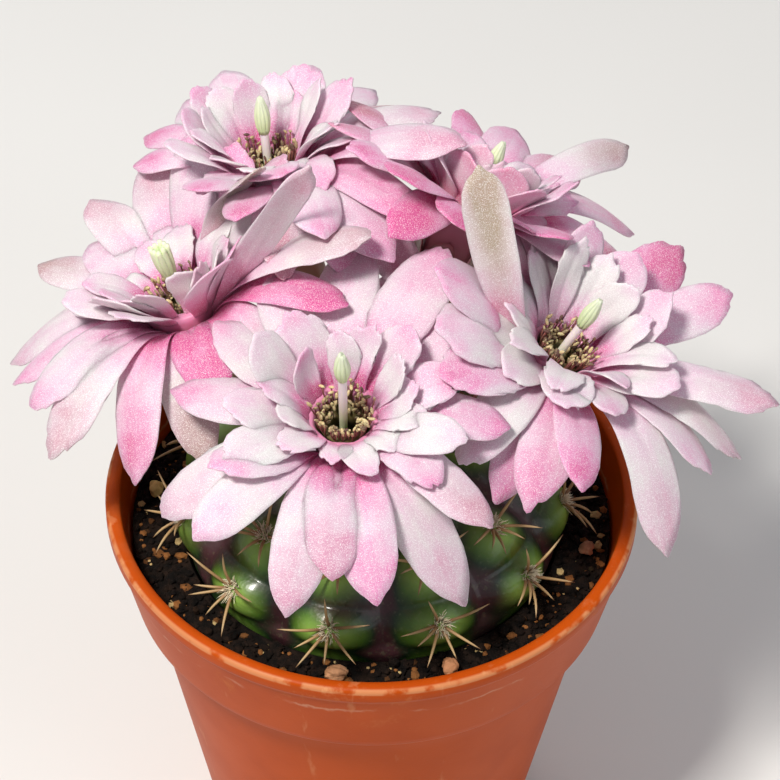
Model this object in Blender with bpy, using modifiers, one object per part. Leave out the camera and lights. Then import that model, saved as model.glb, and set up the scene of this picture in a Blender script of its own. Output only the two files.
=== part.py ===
# A chin cactus in flower: a low ribbed body in a nursery pot, with five open blooms.
# Metres, +Z up, origin at the centre of the pot's underside, the viewer on the -Y side.

import math
import random

import bmesh
import bpy
from mathutils import Matrix, Vector

MM = 0.001
GAP = 0.3 * MM

# Pot: a standard round nursery pot, 65 mm across its rim
POT_HEIGHT = 58 * MM
RIM_RADIUS = 32.5 * MM
LIP_WIDTH = 1.8 * MM
LIP_HEIGHT = 2.2 * MM
COLLAR_HEIGHT = 13.3 * MM
COLLAR_FOOT_RADIUS = 29.7 * MM
COLLAR_STEP = 1.9 * MM
BASE_RADIUS = 20 * MM
POT_WALL = 1.3 * MM
POT_FLOOR = 1.8 * MM
DRAIN_COUNT = 4
DRAIN_RADIUS = 2.2 * MM
DRAIN_CIRCLE = 13 * MM
POT_STEPS = 28

# Soil and the loose grit on it
SOIL_TOP = 52.5 * MM
GRIT = {
    "grit_stone_1": ((-4.0, -26.0), 1.3),
    "grit_stone_2": ((9.5, -24.8), 1.2),
    "grit_stone_3": ((-26.7, 3.4), 1.2),
    "grit_stone_4": ((26.3, -5.5), 1.1),
}

# Body: a flattened globe of ribs, each notched into rounded chins
BODY_RADIUS = 23 * MM
BODY_WAIST = 54 * MM
BODY_RISE = 12 * MM
BODY_DEPTH = 14 * MM
RIB_COUNT = 11
FRONT_RIB = 258
RIB_HEIGHT = 2.5 * MM
RIB_HOLLOW = 0.9 * MM
ROW_LATITUDES = (12, 38, 62)
ROW_STEP = 25.5
BODY_COLUMNS = RIB_COUNT * 4
BODY_ROWS = 19
BURIED_LATITUDES = (-90, -55, -24, -6)
TOP_LATITUDE = 90

# Spines of one areole: turn from the uphill direction in degrees, and length
SPINES = ((-140, 5.6), (-80, 6.6), (-10, 5.2), (72, 6.4), (135, 5.8))
SPINE_RADIUS = 0.32 * MM
SPINE_ROOT = 0.9 * MM
SPINE_LIFT = 0.5
AREOLE_LIFT = 3
BLOOM_CLEARANCE = 9 * MM

# Flower tube and throat
FOOT_RADIUS = 2.6 * MM
FOOT_DEPTH = 0.9 * MM
SOCKET_CLEARANCE = 0.35 * MM
TUBE_STEMS = (7 * MM, 9 * MM)
TUBE_SIDES = 10
TUBE_RINGS = ((0, 2.6), (0.1, 2.6), (0.25, 3.0), (0.6, 3.4), (0.82, 4.0), (1, 4.9))
PIT_RADIUS = 3.5 * MM
PIT_DEPTH = 5 * MM
PIT_SLOPE = 0.34
SCALE_PLACES = ((0.34, 20), (0.34, 140), (0.34, 260), (0.6, 80), (0.6, 200), (0.6, 320))
SCALE_LENGTH = 5 * MM
SCALE_WIDTH = 3.6 * MM

# Petals: root radius and height, rising angle, width, cells along the blade
WHORLS = {
    "outer": dict(root=(4.3, -2.6), rise=38, width=6.3, cells=4),
    "middle": dict(root=(4.1, -1.4), rise=30, width=5.8, cells=3),
    "inner": dict(root=(3.9, -0.4), rise=20, width=4.8, cells=3),
}
PETAL_THICKNESS = 0.8 * MM
PETAL_CUP = 0.22
PETAL_POINT = 0.07
MIDDLE_REACH = 17
INNER_REACH = 12

# Stamens and style
STAMEN_COUNT = 10
ANTHER_SIZE = 0.8 * MM
FILAMENT_RADIUS = 0.32 * MM
STYLE_RADIUS = 0.6 * MM
STIGMA_LENGTH = 4.2 * MM
STIGMA_LOBES = 7

# Blooms. throat: centre of the throat. lean: tilt from upright and its compass angle.
# seat: place on the body. sag: the side on which petals lie lowest. style: height above the throat.
# outer petals: compass angle, spread from the bloom's axis, reach in mm. The rest: compass angles.
BLOOMS = {
    "front": dict(
        throat=(-3.4, -10, 80), lean=(10, 265), seat=(-2.5, -8), sag=285, style=12.5,
        outer=((60, 78, 24), (88, 80, 23), (208, 98, 24), (216, 72, 19), (228, 84, 24), (256, 98, 25),
               (268, 92, 21), (280, 98, 23), (308, 116, 25), (320, 92, 22), (356, 86, 19)),
        middle=(10, 60, 105, 152, 190, 216, 312),
        inner=(8, 60, 136, 204, 260, 302, 340)),
    "left": dict(
        throat=(-23.2, 10, 80), lean=(20, 165), seat=(-9.5, 3), sag=290, style=8,
        outer=((76, 60, 21), (96, 71, 22), (122, 71, 20), (152, 80, 20), (176, 98, 24), (220, 88, 23),
               (232, 95, 26), (252, 106, 25), (272, 116, 22), (308, 101, 21), (336, 89, 23),
               (346, 54, 28), (348, 78, 27)),
        middle=(95, 170, 210, 250, 286, 332),
        inner=(45, 100, 165, 205, 236, 270, 310, 350)),
    "right": dict(
        throat=(22.4, 3.8, 78), lean=(25, 355), seat=(9, 1), sag=240, style=9.5,
        outer=((28, 68, 23), (52, 74, 23), (84, 86, 19), (170, 48, 28), (184, 71, 20), (204, 77, 20),
               (216, 86, 20), (256, 113, 21), (264, 104, 22), (276, 89, 21), (308, 101, 27),
               (342, 88, 25), (348, 72, 26)),
        middle=(56, 90, 190, 228, 270, 316),
        inner=(20, 68, 110, 156, 180, 225, 270, 316)),
    "back_left": dict(
        throat=(-13.2, 25.9, 88), lean=(15, 115), seat=(-4.5, 8.5), sag=275, style=8,
        outer=((40, 92, 21), (52, 88, 21), (76, 77, 19), (108, 77, 19), (124, 86, 20), (146, 90, 19),
               (242, 64, 19), (260, 82, 18), (290, 88, 23), (308, 100, 24), (314, 86, 23), (353, 80, 24)),
        middle=(20, 80, 108, 214, 304),
        inner=(30, 80, 140, 190, 236, 280, 316, 340)),
    "back_right": dict(
        throat=(12, 21.9, 86), lean=(30, 35), seat=(4.5, 8.5), sag=270, style=8,
        outer=((28, 90, 25), (44, 71, 26), (50, 80, 20), (76, 77, 19), (96, 80, 19), (104, 110, 20),
               (228, 77, 20), (238, 96, 19)),
        middle=(10, 60, 120, 240, 302),
        inner=(20, 70, 120, 220, 255, 292, 325)),
}

# Colour, roughness
FINISHES = {
    "pot_plastic": ((0.60, 0.13, 0.035), 0.45),
    "soil": ((0.02, 0.013, 0.009), 0.95),
    "grit": ((0.33, 0.17, 0.08), 0.85),
    "cactus_skin": ((0.035, 0.09, 0.02), 0.35),
    "petals": ((0.80, 0.42, 0.55), 0.5),
    "stamens": ((0.70, 0.55, 0.28), 0.7),
    "style": ((0.72, 0.80, 0.50), 0.5),
}

for leftover in list(bpy.data.objects):
    bpy.data.objects.remove(leftover)

parts = bpy.data.collections.new("chin_cactus")
cutters = bpy.data.collections.new("cutters")
bpy.context.scene.collection.children.link(parts)
bpy.context.scene.collection.children.link(cutters)


def make_material(name):
    color, roughness = FINISHES[name]
    material = bpy.data.materials.new(name)
    material.use_nodes = True
    shader = material.node_tree.nodes["Principled BSDF"]
    shader.inputs["Base Color"].default_value = (*color, 1)
    shader.inputs["Roughness"].default_value = roughness
    shader.inputs["Metallic"].default_value = 0
    return material


materials = {name: make_material(name) for name in FINISHES}


def add_object(name, mesh, finish, collection=parts):
    thing = bpy.data.objects.new(name, mesh)
    collection.objects.link(thing)
    mesh.materials.clear()
    mesh.materials.append(materials[finish])
    return thing


def add_from_bmesh(name, shape, finish, collection=parts):
    mesh = bpy.data.meshes.new(name)
    bmesh.ops.recalc_face_normals(shape, faces=shape.faces)
    if shape.calc_volume(signed=True) < 0:
        bmesh.ops.reverse_faces(shape, faces=shape.faces)
    shape.to_mesh(mesh)
    shape.free()
    return add_object(name, mesh, finish, collection)


def apply_modifiers(thing):
    graph = bpy.context.evaluated_depsgraph_get()
    mesh = bpy.data.meshes.new_from_object(thing.evaluated_get(graph))
    thing.modifiers.clear()
    thing.data = mesh


def smooth_shade(thing, degrees=35):
    thing.data.shade_smooth()
    thing.data.set_sharp_from_angle(angle=math.radians(degrees))


# A turned piece. The profile starts on the inside and runs down the outer side.
def turn(name, profile, finish, steps, closed=False, collection=parts):
    shape = bmesh.new()
    points = [shape.verts.new((radius, 0, height)) for radius, height in profile]
    for start, end in zip(points, points[1:]):
        shape.edges.new((start, end))
    if closed:
        shape.edges.new((points[-1], points[0]))
    mesh = bpy.data.meshes.new(name)
    shape.to_mesh(mesh)
    shape.free()
    thing = add_object(name, mesh, finish, collection)
    screw = thing.modifiers.new("turn", "SCREW")
    screw.steps = steps
    screw.render_steps = steps
    screw.use_merge_vertices = True
    screw.merge_threshold = 0.01 * MM
    apply_modifiers(thing)
    return thing


def cut(thing, cutter):
    cutter.hide_render = True
    cutter.display_type = "WIRE"
    boolean = thing.modifiers.new("cut", "BOOLEAN")
    boolean.operation = "DIFFERENCE"
    boolean.object = cutter
    apply_modifiers(thing)


def is_closed(mesh):
    shape = bmesh.new()
    shape.from_mesh(mesh)
    closed = all(len(edge.link_faces) == 2 for edge in shape.edges)
    shape.free()
    return closed


# Fills hollows that the joined pieces seal between them, and drops loose scraps.
def keep_outer_shell(mesh):
    shape = bmesh.new()
    shape.from_mesh(mesh)
    unseen = set(shape.faces)
    shells = []
    while unseen:
        shell = {unseen.pop()}
        waiting = list(shell)
        while waiting:
            for edge in waiting.pop().edges:
                fresh = {face for face in edge.link_faces if face not in shell}
                shell |= fresh
                waiting += fresh
        unseen -= shell
        shells.append(shell)
    largest = max(shells, key=len)
    bmesh.ops.delete(shape, geom=[face for face in shape.faces if face not in largest], context="FACES")
    shape.to_mesh(mesh)
    shape.free()


# Joins the given pieces to the first one, so that they hold together as one body.
def fuse(thing, pieces):
    group = bpy.data.collections.new(thing.name + "_pieces")
    bpy.context.scene.collection.children.link(group)
    for piece in pieces:
        piece.users_collection[0].objects.unlink(piece)
        group.objects.link(piece)
    plain = thing.data
    for solver in ("EXACT", "MANIFOLD"):
        thing.data = plain
        union = thing.modifiers.new("fuse", "BOOLEAN")
        union.operation = "UNION"
        union.operand_type = "COLLECTION"
        union.collection = group
        union.solver = solver
        apply_modifiers(thing)
        if is_closed(thing.data):
            break
    keep_outer_shell(thing.data)
    for piece in pieces:
        bpy.data.objects.remove(piece)
    bpy.data.collections.remove(group)


# A cone or cylinder from one point to another.
def add_rod(name, start, end, radii, sides, finish, collection=parts):
    shape = bmesh.new()
    axis = end - start
    place = Matrix.Translation((start + end) / 2) @ axis.to_track_quat("Z", "X").to_matrix().to_4x4()
    bmesh.ops.create_cone(shape, cap_ends=True, segments=sides, radius1=radii[0], radius2=radii[1],
                          depth=axis.length, matrix=place)
    return add_from_bmesh(name, shape, finish, collection)


def smoothstep(value):
    value = min(max(value, 0), 1)
    return value * value * (3 - 2 * value)


# Half width of a petal along its length, as a share of its widest: narrow root, rounded end.
def petal_outline(along):
    rising = 0.42 + 0.58 * smoothstep(along / 0.6)
    falling = 1 - 0.93 * max((along - 0.6) / 0.4, 0) ** 2.4
    return rising * math.sqrt(falling)


# A curved, cupped blade with a pointed end, from its root to its tip by way of a bend point.
# Each section has four corners: the two edges, raised by the cup, and the middle of each face.
def add_blade(name, root, bend, tip, side, width, cells, finish="petals"):
    shape = bmesh.new()
    sections = []
    for cell in range(cells + 1):
        middle = (cell / cells) ** 0.85
        edge = middle - (PETAL_POINT if cell == cells else 0)
        section = []
        for along, across_side, lift in ((edge, -1, PETAL_CUP), (middle, 0, 0), (edge, 1, PETAL_CUP), (middle, 0, 0)):
            spot = root * (1 - along) ** 2 + bend * (2 * along * (1 - along)) + tip * along ** 2
            normal = ((bend - root) * (1 - along) + (tip - bend) * along).normalized().cross(side)
            half = width / 2 * petal_outline(along)
            face = (0, 1, 0, -1)[len(section)]
            rise = half * lift + face * PETAL_THICKNESS / 2
            section.append(shape.verts.new(spot + side * (half * across_side) + normal * rise))
        sections.append(section)
    for low, high in zip(sections, sections[1:]):
        for first, second in ((0, 1), (2, 1), (2, 3), (0, 3)):
            shape.faces.new((low[first], high[first], high[second]))
            shape.faces.new((low[first], high[second], low[second]))
    for end in (sections[0], sections[-1]):
        shape.faces.new((end[0], end[1], end[2]))
        shape.faces.new((end[0], end[2], end[3]))
    return add_from_bmesh(name, shape, finish)


# Pot

def pot_inside_radius(height):
    collar_foot = POT_HEIGHT - COLLAR_HEIGHT
    mouth = RIM_RADIUS - LIP_WIDTH
    share = (height - collar_foot) / COLLAR_HEIGHT
    return COLLAR_FOOT_RADIUS - POT_WALL + share * (mouth - COLLAR_FOOT_RADIUS + POT_WALL)


def build_pot():
    collar_foot = POT_HEIGHT - COLLAR_HEIGHT
    wall_top = COLLAR_FOOT_RADIUS - COLLAR_STEP
    edge = 0.5 * MM
    profile = (
        (0, POT_FLOOR),
        (BASE_RADIUS - POT_WALL, POT_FLOOR),
        (wall_top - POT_WALL, collar_foot),
        (COLLAR_FOOT_RADIUS - POT_WALL, collar_foot + edge),
        (RIM_RADIUS - LIP_WIDTH, POT_HEIGHT - edge),
        (RIM_RADIUS - LIP_WIDTH + edge, POT_HEIGHT),
        (RIM_RADIUS - edge, POT_HEIGHT),
        (RIM_RADIUS, POT_HEIGHT - edge),
        (RIM_RADIUS, POT_HEIGHT - LIP_HEIGHT),
        (RIM_RADIUS - edge, POT_HEIGHT - LIP_HEIGHT - edge),
        (COLLAR_FOOT_RADIUS, collar_foot),
        (wall_top, collar_foot - edge),
        (BASE_RADIUS, edge),
        (BASE_RADIUS - edge, 0),
        (0, 0),
    )
    pot = turn("pot", profile, "pot_plastic", POT_STEPS)
    for index in range(DRAIN_COUNT):
        angle = math.tau * index / DRAIN_COUNT
        spot = Vector((DRAIN_CIRCLE * math.cos(angle), DRAIN_CIRCLE * math.sin(angle), 0))
        drill = add_rod("drain_" + str(index), spot - Vector((0, 0, POT_FLOOR)),
                        spot + Vector((0, 0, 2 * POT_FLOOR)), (DRAIN_RADIUS, DRAIN_RADIUS), 8,
                        "pot_plastic", cutters)
        cut(pot, drill)
    smooth_shade(pot)


# Soil, with a plain hole that the body stands in

def build_soil():
    clearance = 0.4 * MM
    profile = []
    for latitude in (-90, -70, -50, -32, -18):
        angle = math.radians(latitude)
        profile.append(((BODY_RADIUS + clearance) * math.cos(angle),
                        BODY_WAIST + (BODY_DEPTH + clearance) * math.sin(angle)))
    profile[0] = (0, profile[0][1])
    profile.append((BODY_RADIUS + clearance, SOIL_TOP))
    collar_foot = POT_HEIGHT - COLLAR_HEIGHT
    wall_top = COLLAR_FOOT_RADIUS - COLLAR_STEP - POT_WALL
    profile += [
        (pot_inside_radius(SOIL_TOP) - 1.5 * GAP, SOIL_TOP - 0.6 * MM),
        (pot_inside_radius(collar_foot) - 1.5 * GAP, collar_foot + 3 * GAP),
        (wall_top - 1.5 * GAP, collar_foot),
        (BASE_RADIUS - POT_WALL - GAP, POT_FLOOR + GAP),
        (0, POT_FLOOR + GAP),
    ]
    turn("soil", profile, "soil", POT_STEPS)


def build_grit():
    draw = random.Random(3)
    for name, (place, radius) in GRIT.items():
        shape = bmesh.new()
        bmesh.ops.create_icosphere(shape, subdivisions=1, radius=radius * MM)
        for corner in shape.verts:
            corner.co *= draw.uniform(0.8, 1.15)
        lowest = min(corner.co.z for corner in shape.verts)
        lift = Vector((place[0] * MM, place[1] * MM, SOIL_TOP + GAP - lowest))
        bmesh.ops.translate(shape, verts=shape.verts, vec=lift)
        add_from_bmesh(name, shape, "grit")


# Body

def globe_point(compass, latitude):
    turn_angle, lift = math.radians(compass), math.radians(latitude)
    height = BODY_RISE if latitude > 0 else BODY_DEPTH
    return Vector((BODY_RADIUS * math.cos(lift) * math.cos(turn_angle),
                   BODY_RADIUS * math.cos(lift) * math.sin(turn_angle),
                   BODY_WAIST + height * math.sin(lift)))


def globe_normal(point):
    height = BODY_RISE if point.z > BODY_WAIST else BODY_DEPTH
    return Vector((point.x / BODY_RADIUS ** 2, point.y / BODY_RADIUS ** 2,
                   (point.z - BODY_WAIST) / height ** 2)).normalized()


# Height of the skin above the plain globe: rounded ribs, swollen into a chin at each row.
def relief(compass, latitude):
    crest = math.cos(math.radians(compass - FRONT_RIB) * RIB_COUNT / 2) ** 2
    row = math.cos(math.pi * (latitude - ROW_LATITUDES[0]) / ROW_STEP) ** 2
    swell = RIB_HEIGHT * crest ** 0.7 * (0.5 + 0.5 * row ** 0.7) - RIB_HOLLOW
    above_soil = smoothstep((latitude + 4) / 9)
    return swell * above_soil * math.cos(math.radians(latitude)) ** 0.5


def skin_point(compass, latitude):
    plain = globe_point(compass, latitude)
    return plain + globe_normal(plain) * relief(compass, latitude)


def seat_point(bloom):
    x, y = bloom["seat"][0] * MM, bloom["seat"][1] * MM
    height = BODY_RISE * math.sqrt(1 - (x * x + y * y) / BODY_RADIUS ** 2)
    return Vector((x, y, BODY_WAIST + height))


def body_latitude(row):
    if row < len(BURIED_LATITUDES):
        return BURIED_LATITUDES[row]
    first, last = len(BURIED_LATITUDES) - 1, BODY_ROWS
    return BURIED_LATITUDES[-1] + (row - first) * (TOP_LATITUDE - BURIED_LATITUDES[-1]) / (last - first)


def build_spines():
    spines = []
    seats = [seat_point(bloom) for bloom in BLOOMS.values()]
    for rib in range(RIB_COUNT):
        compass = FRONT_RIB + 360 * rib / RIB_COUNT
        for latitude in ROW_LATITUDES:
            areole = skin_point(compass, latitude + AREOLE_LIFT)
            if min((areole - seat).length for seat in seats) < BLOOM_CLEARANCE:
                continue
            normal = globe_normal(areole)
            aside = Vector((0, 0, 1)).cross(normal).normalized()
            uphill = normal.cross(aside)
            for angle, length in SPINES:
                spread = uphill * math.cos(math.radians(angle)) + aside * math.sin(math.radians(angle))
                course = (normal * SPINE_LIFT + spread).normalized()
                root = areole - normal * SPINE_ROOT + spread * 0.3 * MM
                spines.append(add_rod("spine", root, areole + course * length * MM,
                                      (SPINE_RADIUS, 0), 3, "cactus_skin"))
    return spines


def build_body():
    shape = bmesh.new()
    bmesh.ops.create_uvsphere(shape, u_segments=BODY_COLUMNS, v_segments=BODY_ROWS, radius=1)
    for corner in shape.verts:
        level = math.degrees(math.asin(min(max(corner.co.z, -1), 1)))
        row = round((level + 90) / 180 * BODY_ROWS)
        compass = math.degrees(math.atan2(corner.co.y, corner.co.x))
        corner.co = skin_point(compass, body_latitude(row))
    body = add_from_bmesh("cactus_body", shape, "cactus_skin")
    for name, bloom in BLOOMS.items():
        seat = seat_point(bloom)
        normal = globe_normal(seat)
        radius = FOOT_RADIUS + SOCKET_CLEARANCE
        socket = add_rod("socket_" + name, seat - normal * (FOOT_DEPTH + GAP), seat + normal * 4 * MM,
                         (radius, radius), 16, "cactus_skin", cutters)
        cut(body, socket)
    fuse(body, build_spines())
    smooth_shade(body)


# Blooms

# The bloom's own frame: origin at its throat, +Z up its axis, +X kept towards the pot's +X.
def bloom_frame(bloom):
    tilt, compass = map(math.radians, bloom["lean"])
    axis = Vector((math.sin(tilt) * math.cos(compass), math.sin(tilt) * math.sin(compass), math.cos(tilt)))
    right = (Vector((1, 0, 0)) - axis * axis.x).normalized()
    frame = Matrix((right, axis.cross(right), axis)).transposed().to_4x4()
    return Matrix.Translation(Vector(bloom["throat"]) * MM) @ frame


def tube_course(bloom, frame):
    seat = seat_point(bloom)
    normal = globe_normal(seat)
    axis = frame.to_3x3().col[2]
    throat = frame.translation
    first = seat - normal * FOOT_DEPTH
    return (first, seat + normal * TUBE_STEMS[0], throat - axis * TUBE_STEMS[1], throat)


def along_course(course, share):
    a, b, c, d = course
    rest = 1 - share
    spot = a * rest ** 3 + b * (3 * rest ** 2 * share) + c * (3 * rest * share ** 2) + d * share ** 3
    heading = (b - a) * rest ** 2 + (c - b) * (2 * rest * share) + (d - c) * share ** 2
    return spot, heading.normalized()


def across(heading, compass):
    right = (Vector((1, 0, 0)) - heading * heading.x).normalized()
    ahead = heading.cross(right)
    angle = math.radians(compass)
    return right * math.cos(angle) + ahead * math.sin(angle)


def build_tube(name, bloom, frame):
    course = tube_course(bloom, frame)
    shape = bmesh.new()
    rings = []
    for share, radius in TUBE_RINGS:
        rings.append((*along_course(course, share), radius * MM))
    axis = frame.to_3x3().col[2]
    for depth in (0, PIT_DEPTH):
        rings.append((frame.translation - axis * depth, axis, PIT_RADIUS - PIT_SLOPE * depth))
    loops = []
    for spot, heading, radius in rings:
        corners = [spot + across(heading, 360 * side / TUBE_SIDES) * radius for side in range(TUBE_SIDES)]
        loops.append([shape.verts.new(corner) for corner in corners])
    for below, above in zip(loops, loops[1:]):
        for side in range(TUBE_SIDES):
            after = (side + 1) % TUBE_SIDES
            shape.faces.new((below[side], below[after], above[after], above[side]))
    shape.faces.new(loops[0])
    shape.faces.new(loops[-1])
    tube = add_from_bmesh(name, shape, "petals")
    scales = [build_scale(course, share, compass) for share, compass in SCALE_PLACES]
    return tube, scales


def build_scale(course, share, compass):
    spot, heading = along_course(course, share)
    outward = across(heading, compass)
    root = spot + outward * 2.9 * MM
    bend = root + heading * SCALE_LENGTH * 0.5 + outward * 1.1 * MM
    tip = root + heading * SCALE_LENGTH + outward * 1.5 * MM
    return add_blade("scale", root, bend, tip, heading.cross(outward), SCALE_WIDTH, 2)


# Petals of the inner whorls open wider on the side where the bloom sags.
def whorl_petals(bloom, whorl):
    if whorl == "outer":
        return bloom["outer"]
    middle, swing, reach = (58, 22, MIDDLE_REACH) if whorl == "middle" else (50, 25, INNER_REACH)
    petals = []
    for compass in bloom[whorl]:
        spread = middle + swing * math.cos(math.radians(compass - bloom["sag"]))
        petals.append((compass, spread, reach))
    return petals


def build_petal(frame, whorl, compass, spread, reach):
    style = WHORLS[whorl]
    angle, opening = math.radians(compass), math.radians(spread)
    outward = Vector((math.cos(angle), math.sin(angle), 0))
    upward = Vector((0, 0, 1))
    rise = math.radians(min(style["rise"], spread * 0.7 + 4))
    root = (outward * style["root"][0] + upward * style["root"][1]) * MM
    tip = (outward * math.sin(opening) + upward * math.cos(opening)) * reach * MM
    bend = root + (outward * math.sin(rise) + upward * math.cos(rise)) * (tip - root).length / 2
    side = frame.to_3x3() @ upward.cross(outward)
    return add_blade("petal", frame @ root, frame @ bend, frame @ tip, side, style["width"] * MM, style["cells"])


def build_flower(name, bloom):
    frame = bloom_frame(bloom)
    tube, pieces = build_tube("flower_" + name, bloom, frame)
    for whorl in WHORLS:
        for compass, spread, reach in whorl_petals(bloom, whorl):
            pieces.append(build_petal(frame, whorl, compass, spread, reach))
    fuse(tube, pieces)


def build_stamens(name, bloom, seed):
    frame = bloom_frame(bloom)
    draw = random.Random(seed)
    low, high = -3.5 * MM, -0.7 * MM
    fit = PIT_RADIUS - 1.2 * GAP
    profile = (
        (fit + PIT_SLOPE * low - 0.75 * MM, low),
        (fit + PIT_SLOPE * high - 0.75 * MM, high),
        (fit + PIT_SLOPE * high, high),
        (fit + PIT_SLOPE * low, low),
    )
    ring = turn("flower_" + name + "_stamens", profile, "stamens", 10, closed=True)
    pieces = []
    for index in range(STAMEN_COUNT):
        angle = math.tau * (index + draw.uniform(-0.2, 0.2)) / STAMEN_COUNT
        outward = Vector((math.cos(angle), math.sin(angle), 0))
        root = outward * 2.35 * MM + Vector((0, 0, -1.8 * MM))
        anther = outward * 2.75 * MM + Vector((0, 0, draw.uniform(1.2, 2.7) * MM))
        pieces.append(add_rod("filament", root, anther, (FILAMENT_RADIUS, 0), 3, "stamens"))
        shape = bmesh.new()
        turned = Matrix.Translation(anther) @ Matrix.Rotation(angle + 0.5, 4, "Z")
        bmesh.ops.create_cube(shape, size=ANTHER_SIZE, matrix=turned)
        pieces.append(add_from_bmesh("anther", shape, "stamens"))
    fuse(ring, pieces)
    ring.data.transform(frame)


def build_style(name, bloom):
    frame = bloom_frame(bloom)
    top = bloom["style"] * MM
    foot = Vector((0, 0, GAP - PIT_DEPTH))
    neck = Vector((0, 0, top - STIGMA_LENGTH + 0.6 * MM))
    style = add_rod("flower_" + name + "_style", foot, neck, (STYLE_RADIUS, STYLE_RADIUS), 8, "style")
    lobes = []
    for index in range(STIGMA_LOBES):
        angle = math.tau * index / STIGMA_LOBES
        outward = Vector((math.cos(angle), math.sin(angle), 0))
        root = outward * 0.35 * MM + Vector((0, 0, top - STIGMA_LENGTH))
        tip = outward * 1.0 * MM + Vector((0, 0, top))
        lobes.append(add_rod("lobe", root, tip, (0.42 * MM, 0.26 * MM), 4, "style"))
    fuse(style, lobes)
    style.data.transform(frame)


build_pot()
build_soil()
build_grit()
build_body()
for number, (bloom_name, bloom_design) in enumerate(BLOOMS.items()):
    build_flower(bloom_name, bloom_design)
    build_stamens(bloom_name, bloom_design, number)
    build_style(bloom_name, bloom_design)
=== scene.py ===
import math
import random
import bpy
import bmesh
from mathutils import Matrix, Vector, noise


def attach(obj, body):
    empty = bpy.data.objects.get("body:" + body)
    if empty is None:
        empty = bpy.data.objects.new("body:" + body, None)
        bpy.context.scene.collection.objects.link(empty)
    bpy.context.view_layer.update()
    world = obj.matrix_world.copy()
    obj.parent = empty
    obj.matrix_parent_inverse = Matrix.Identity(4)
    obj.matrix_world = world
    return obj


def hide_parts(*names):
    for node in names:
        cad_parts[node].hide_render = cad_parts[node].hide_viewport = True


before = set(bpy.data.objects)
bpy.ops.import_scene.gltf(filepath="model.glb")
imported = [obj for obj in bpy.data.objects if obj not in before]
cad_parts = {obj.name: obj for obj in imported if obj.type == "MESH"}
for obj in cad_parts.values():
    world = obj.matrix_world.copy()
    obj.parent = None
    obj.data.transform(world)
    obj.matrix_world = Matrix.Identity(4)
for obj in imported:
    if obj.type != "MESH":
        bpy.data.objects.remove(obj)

mm = 0.001
scene = bpy.context.scene


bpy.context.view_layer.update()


# Shader helpers: a wrapped socket is written like a number

class Wire:
    def __init__(self, tree, socket):
        self.tree = tree
        self.socket = socket

    def maths(self, operation, *values):
        node = self.tree.nodes.new("ShaderNodeMath")
        node.operation = operation
        for place, value in enumerate(values):
            plug(self.tree, value, node.inputs[place])
        return Wire(self.tree, node.outputs[0])

    def __add__(self, other): return self.maths("ADD", self, other)
    def __radd__(self, other): return self.maths("ADD", other, self)
    def __sub__(self, other): return self.maths("SUBTRACT", self, other)
    def __rsub__(self, other): return self.maths("SUBTRACT", other, self)
    def __mul__(self, other): return self.maths("MULTIPLY", self, other)
    def __rmul__(self, other): return self.maths("MULTIPLY", other, self)
    def __pow__(self, other): return self.maths("POWER", self, other)
    def __rpow__(self, other): return self.maths("POWER", other, self)
    def atLeast(self, other): return self.maths("MAXIMUM", self, other)
    def clamped(self): return self.maths("MINIMUM", self.atLeast(0), 1)


def plug(tree, value, socket):
    if isinstance(value, Wire):
        tree.links.new(value.socket, socket)
    elif isinstance(value, tuple) and len(value) == 3 and len(socket.default_value) == 4:
        socket.default_value = (*value, 1)
    else:
        socket.default_value = value


class Finish:  # one material and its Principled shader
    def __init__(self, name, **fixed):
        self.material = bpy.data.materials.new(name)
        self.material.use_nodes = True
        self.tree = self.material.node_tree
        self.shader = self.tree.nodes["Principled BSDF"]
        self.shade(**fixed)

    def node(self, kind, settings=None, sockets=None, output=0):  # settings first, then sockets
        node = self.tree.nodes.new("ShaderNode" + kind)
        for key, value in (settings or {}).items():
            if key == "stops":
                ramp = node.color_ramp
                while len(ramp.elements) < len(value):
                    ramp.elements.new(1)
                for element, (place, colour) in zip(ramp.elements, value):
                    element.position = place
                    element.color = (*colour, 1)
            else:
                setattr(node, key, value)
        for key, value in (sockets or {}).items():
            plug(self.tree, value, node.inputs[key])
        return Wire(self.tree, node.outputs[output])

    def mix(self, share, first, second):
        return self.node("Mix", dict(data_type="RGBA"), {0: share, 6: first, 7: second}, 2)

    def noise(self, scale, detail=3, where=None, rough=0.5):
        sockets = dict(Scale=scale, Detail=detail, Roughness=rough)
        if where:
            sockets["Vector"] = where
        return self.node("TexNoise", None, sockets)

    def place(self):
        return self.node("TexCoord", None, None, 3)

    def ramp(self, value, low, high):  # smooth rise from 0 at low to 1 at high
        return self.node("MapRange", dict(interpolation_type="SMOOTHSTEP"),
                         {"Value": value, "From Min": low, "From Max": high})

    def split(self, vector):
        node = self.node("SeparateXYZ", None, {0: vector}).socket.node
        return [Wire(self.tree, output) for output in node.outputs]

    def parts(self, attribute):  # the three values that a mesh carries under one name
        return self.split(self.node("Attribute", dict(attribute_name=attribute), None, 1))

    def bump(self, height, strength, distance):
        return self.node("Bump", None, dict(Height=height, Strength=strength, Distance=distance))

    def shade(self, **links):
        for socket, value in links.items():
            plug(self.tree, value, self.shader.inputs[socket.replace("_", " ")])
        return self.material


# Mesh helpers

def makePiece(name, shape, finish, replaced=(), smooth=True):
    verts, faces, data = shape
    mesh = bpy.data.meshes.new(name)
    mesh.from_pydata(verts, [], faces)
    for key, values in data.items():
        layer = mesh.attributes.new(key, "FLOAT_VECTOR", "POINT")
        layer.data.foreach_set("vector", [number for value in values for number in value])
    mesh.validate()
    if smooth:
        mesh.shade_smooth()
    piece = bpy.data.objects.new(name, mesh)
    scene.collection.objects.link(piece)
    mesh.materials.append(finish)
    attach(piece, "root")
    if replaced:
        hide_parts(*replaced)
    return piece


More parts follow.
